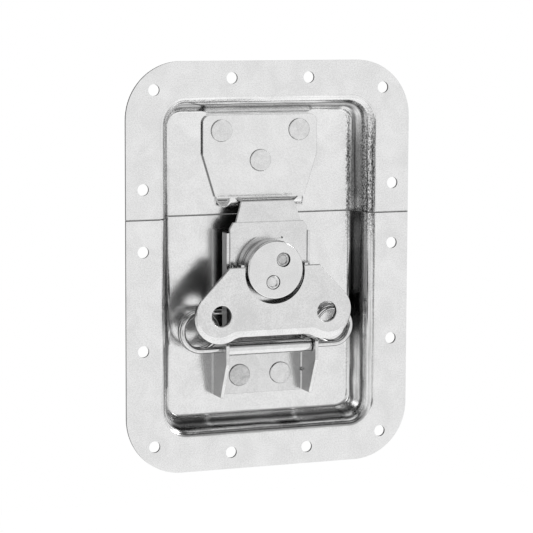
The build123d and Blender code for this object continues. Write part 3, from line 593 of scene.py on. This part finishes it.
def zinc(
    name,
    shades,
    gloss,
    cloud_size,
    grain_size,
    grain_depth,
    line_depth,
    side=None,
    edge=1.0,
    edge_rough=0.2,
    back=1.0,
    pressed=False,
    turned=False,
    painted_outline_shade=0.0,
):
    """Zinc plate, whose shade and gloss go from one cloud to the next.

    shades are the darkest and the lightest. gloss is the roughness of its smoothest and
    its roughest places. Sizes are in mm and depths in thousandths of a mm.
    side and edge are the tones of sheared edges and bent sides, those that face left and
    the others: painted shade, and on sheared edges partly their bare steel. back is the
    painted shade of faces turned to the case, and outline is how much painted shade darkens
    a round wire towards its silhouette.
    """
    material, tree, shader, place = new_material(name)
    cloud = use_group(
        tree, plate_cloud, Place=place, Cloud_Size=cloud_size * MM, Grain_Size=grain_size * MM
    )
    lines = use_group(tree, drawn_lines, Place=place)["Lines"]
    dark, light = shades
    shade = range_node(tree, blend(tree, cloud, SHADE_CLOUD_SHARE), 0.35, 0.65)
    colour = mix_colour(tree, shade, (dark,) * 3, (light,) * 3)
    smooth, rough = gloss
    shine = blend(tree, cloud, GLOSS_CLOUD_SHARE)
    roughness = range_node(tree, shine, 0.3, 0.7, rough, smooth)
    grained = bump_node(tree, cloud["Grain"], grain_depth * MICRON)
    normal = bump_node(tree, lines, line_depth * MICRON, normal=grained)
    if pressed:
        normal, roughness, colour = pressed_walls(tree, place, normal, roughness, colour)
    # Painted shade: faces turned left and faces turned to the case take darker tones, and sheared
    # edges too, partly for their bare steel.
    if side is not None:
        facing = tree.nodes.new("ShaderNodeTexCoord").outputs["Normal"]
        cut = use_group(tree, cut_edge, Normal=facing)
        tone = mix_value(tree, cut["Mask"], 1.0, edge)
        tone = mix_value(tree, cut["Side"], tone, side)
        tone = math_node(tree, "MULTIPLY", tone, mix_value(tree, cut["Back"], 1.0, back))
        if turned:
            rings = mix_value(tree, cut["Mask"], 1.0, turned_rings(tree, place))
            tone = math_node(tree, "MULTIPLY", tone, rings)
        colour = scale_colour(tree, colour, tone)
        roughness = math_node(tree, "MULTIPLY_ADD", cut["Mask"], edge_rough, roughness)
    # Painted shade, darker towards a round wire's silhouette.
    if painted_outline_shade:
        weight = tree.nodes.new("ShaderNodeLayerWeight")
        weight.inputs["Blend"].default_value = 0.5
        painted_rim_shade = range_node(tree, weight.outputs["Facing"], 0.35, 0.75, 1.0, 1.0 - painted_outline_shade)
        colour = scale_colour(tree, colour, painted_rim_shade)
    tree.links.new(colour, shader.inputs["Base Color"])
    tree.links.new(roughness, shader.inputs["Roughness"])
    tree.links.new(normal, shader.inputs["Normal"])
    shader.inputs["Metallic"].default_value = 1.0
    return material


MICRON = 0.001 * MM
ROLL_BAND = -2.4 * MM, 0.1 * MM  # distance outside the mouth over which the fold rolls
ROLL_DEPTH = 1.1 * MM
STREAK_DEPTH = 8 * MICRON
SPECK_DEPTH = 20 * MICRON
RING_WIDTH = 0.7 * MM
RING_LENGTH = 1 / 60.0  # m
RING_TONE = 0.12  # of the darkest ring
SHADE_CLOUD_SHARE = 0.4
GLOSS_CLOUD_SHARE = 0.6

# name: (shades, gloss, cloud size, grain size, grain depth, line depth, the rest)
# The rest sets the darker tones of sides, sheared edges and backs, partly painted shade, and the
# painted shade at a round wire's silhouette.
ZINCS = {
    "zinc_sheet": (
        (0.83, 0.97), (0.14, 0.22), 10, 0.6, 18, 4,
        {"side": 0.10, "edge": 0.10, "pressed": True},
    ),
    "zinc_plate": (
        (0.84, 0.96), (0.12, 0.20), 12, 0.6, 12, 3,
        {"side": 0.12, "edge": 1.00, "edge_rough": 0.0},
    ),
    "zinc_bent": (
        (0.74, 0.88), (0.14, 0.22), 8, 0.5, 16, 4,
        {"side": 0.62, "edge": 0.90, "edge_rough": 0.15, "back": 0.25},
    ),
    "zinc_ears": (
        (0.74, 0.88), (0.14, 0.22), 8, 0.5, 30, 4,
        {"side": 0.55, "edge": 1.00, "edge_rough": 0.05},
    ),
    "zinc_wing": (
        (0.75, 0.91), (0.20, 0.28), 10, 0.5, 20, 2,
        {"side": 0.12, "edge": 0.50, "back": 0.45},
    ),
    "zinc_turned": (
        (0.78, 0.90), (0.13, 0.19), 8, 0.5, 12, 2,
        {"side": 0.80, "edge": 0.80, "edge_rough": 0.0, "turned": True},
    ),
    "zinc_sleeve": ((0.78, 0.90), (0.12, 0.18), 8, 0.6, 8, 2, {}),
    "zinc_rivet": ((0.74, 0.90), (0.20, 0.30), 3, 0.5, 16, 2, {"side": 0.08, "edge": 0.40}),
    "zinc_rivet_dull": ((0.50, 0.74), (0.24, 0.34), 2, 0.5, 22, 2, {"side": 0.06, "edge": 0.30}),
    "spring_wire": ((0.70, 0.84), (0.06, 0.12), 6, 0.8, 4, 1, {"painted_outline_shade": 0.85}),
}
FINISHES = {name: zinc(name, *look, **rest) for name, (*look, rest) in ZINCS.items()}
# Pieces whose finish isn't the one that their slot names.
OTHER_FINISH = {
    "link_bracket": "zinc_ears",
    "latch_housing": "zinc_bent",
    "hook_plate": "zinc_bent",
    "link_sleeve": "zinc_sleeve",
    "bracket_rivet_left": "zinc_rivet_dull",
    "drum_rivet_upper": "zinc_rivet_dull",
}


def dress_cad_nodes():
    for entry in record["subparts"]:
        solid = nodes[entry["node"]]
        solid.data.materials.clear()
        finish = OTHER_FINISH.get(entry["node"], entry["material_slot"])
        solid.data.materials.append(FINISHES[finish])


# ---- Studio ------------------------------------------------------------------------
def pale_for_mirrors(tree, surface, strength):
    """Surface, but a plain white glow to the camera, to metal and to glass."""
    seen = tree.nodes.new("ShaderNodeLightPath")
    rays = math_node(tree, "MAXIMUM", seen.outputs["Is Camera Ray"], seen.outputs["Is Glossy Ray"])
    rays = math_node(tree, "MAXIMUM", rays, seen.outputs["Is Transmission Ray"])
    glow = tree.nodes.new("ShaderNodeEmission")
    glow.inputs["Color"].default_value = (1, 1, 1, 1)
    glow.inputs["Strength"].default_value = strength
    mix = tree.nodes.new("ShaderNodeMixShader")
    tree.links.new(rays, mix.inputs[0])
    tree.links.new(surface, mix.inputs[1])
    tree.links.new(glow.outputs[0], mix.inputs[2])
    return mix.outputs[0]


def make_floor():
    bpy.ops.mesh.primitive_plane_add(size=FLOOR_SIZE, location=(0, 0, cad_low.z - FLOOR_DROP))
    floor = bpy.context.object
    floor.name = "studio_floor"
    material = bpy.data.materials.new("studio_floor")
    material.use_nodes = True
    tree = material.node_tree
    shader = next(n for n in tree.nodes if n.type == "BSDF_PRINCIPLED")
    shader.inputs["Base Color"].default_value = FLOOR_COLOUR
    shader.inputs["Roughness"].default_value = FLOOR_ROUGHNESS
    out = next(n for n in tree.nodes if n.type == "OUTPUT_MATERIAL")
    pale = pale_for_mirrors(tree, shader.outputs[0], FLOOR_GLOW)
    shaded = tree.nodes.new("ShaderNodeMixShader")
    shaded.inputs[0].default_value = FLOOR_SHADE
    tree.links.new(pale, shaded.inputs[1])
    tree.links.new(shader.outputs[0], shaded.inputs[2])
    tree.links.new(shaded.outputs[0], out.inputs["Surface"])
    floor.data.materials.append(material)


def card_mask(tree, angles, centre, half, soft):
    """How much of a direction lies on a card; angles, centre and half are (azimuth,
    elevation)."""
    sides = []
    for angle, middle, reach in zip(angles, centre, half):
        off = math_node(tree, "SUBTRACT", angle, radians(middle))
        off = math_node(tree, "ABSOLUTE", off)
        sides.append(range_node(tree, off, radians(reach) + radians(soft), radians(reach)))
    return math_node(tree, "MULTIPLY", *sides)


def make_world():
    world = bpy.data.worlds.new("studio")
    bpy.context.scene.world = world
    world.use_nodes = True
    tree = world.node_tree
    tree.nodes.clear()
    direction = tree.nodes.new("ShaderNodeTexCoord").outputs["Generated"]
    apart = tree.nodes.new("ShaderNodeSeparateXYZ")
    tree.links.new(direction, apart.inputs[0])
    ahead = math_node(tree, "MULTIPLY", apart.outputs["Y"], -1.0)
    azimuth = math_node(tree, "ARCTAN2", apart.outputs["X"], ahead)
    elevation = math_node(tree, "ARCSINE", apart.outputs["Z"])
    level = SURROUND
    for *centre, half_width, half_height, soft, brightness in CARDS.values():
        mask = card_mask(tree, (azimuth, elevation), centre, (half_width, half_height), soft)
        level = mix_value(tree, mask, level, brightness)
    cards = tree.nodes.new("ShaderNodeBackground")
    tree.links.new(level, cards.inputs["Strength"])
    white = tree.nodes.new("ShaderNodeBackground")
    white.inputs["Color"].default_value = (1, 1, 1, 1)
    seen = tree.nodes.new("ShaderNodeLightPath")
    mix = tree.nodes.new("ShaderNodeMixShader")
    tree.links.new(seen.outputs["Is Camera Ray"], mix.inputs[0])
    tree.links.new(cards.outputs[0], mix.inputs[1])
    tree.links.new(white.outputs[0], mix.inputs[2])
    out = tree.nodes.new("ShaderNodeOutputWorld")
    tree.links.new(mix.outputs[0], out.inputs["Surface"])


def towards(azimuth, elevation):
    """Direction from the object, by angles in degrees."""
    azimuth, elevation = radians(azimuth), radians(elevation)
    return Vector(
        (sin(azimuth) * cos(elevation), -cos(azimuth) * cos(elevation), sin(elevation))
    )


def make_camera():
    back = towards(CAMERA_AZIMUTH, CAMERA_ELEVATION)
    lens = bpy.data.cameras.new("studio_camera")
    lens.lens = CAMERA_LENS
    lens.sensor_width = 36.0
    lens.clip_start, lens.clip_end = 0.05, 20.0
    camera = bpy.data.objects.new("studio_camera", lens)
    bpy.context.scene.collection.objects.link(camera)
    turn = back.to_track_quat("Z", "Y").to_matrix().to_4x4()
    roll = Matrix.Rotation(radians(CAMERA_ROLL), 4, "Z")
    place = Matrix.Translation(CAMERA_AIM + back * CAMERA_DISTANCE)
    camera.matrix_world = place @ turn @ roll
    bpy.context.scene.camera = camera


def lamp(name, azimuth, elevation, distance, size, watts):
    """A soft square lamp that looks at the object's middle."""
    back = towards(azimuth, elevation)
    light = bpy.data.lights.new(name, "AREA")
    light.shape = "SQUARE"
    light.size = size
    light.energy = watts
    body = bpy.data.objects.new(name, light)
    bpy.context.scene.collection.objects.link(body)
    turn = back.to_track_quat("Z", "Y").to_matrix().to_4x4()
    body.matrix_world = Matrix.Translation(back * distance) @ turn


dress_cad_nodes()
make_floor()
make_world()
make_camera()
lamp("key_lamp", **KEY_LAMP)
bpy.context.scene.view_settings.view_transform = "Standard"
